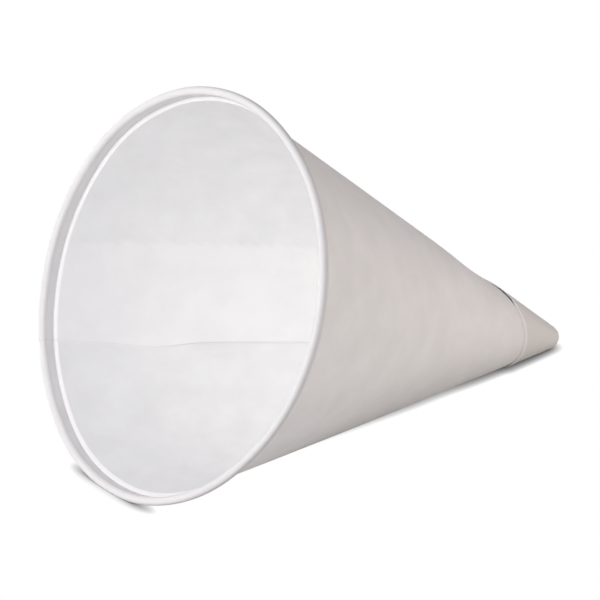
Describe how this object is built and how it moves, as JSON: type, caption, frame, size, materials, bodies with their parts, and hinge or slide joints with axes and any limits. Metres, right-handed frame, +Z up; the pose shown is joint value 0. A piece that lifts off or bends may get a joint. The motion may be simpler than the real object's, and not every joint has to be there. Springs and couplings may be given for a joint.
{
  "type": "cone paper cup",
  "caption": "Cone-shaped paper cup wound from one sheet, with a rolled rim, a lapped side seam and a blunt tip, lying on its side.",
  "frame": {"origin": "on the floor under the middle of the cup, which lies on its side on the rolled rim and the tip", "axes": "+X from the mouth to the tip, +Z up, +Y to the side that holds the seam"},
  "size_m": [0.0961, 0.072, 0.067],
  "materials": {
    "paper": "matte uncoated white paper"
  },
  "bodies": {
    "root": {"cone_cup": "paper"}
  },
  "joints": []
}
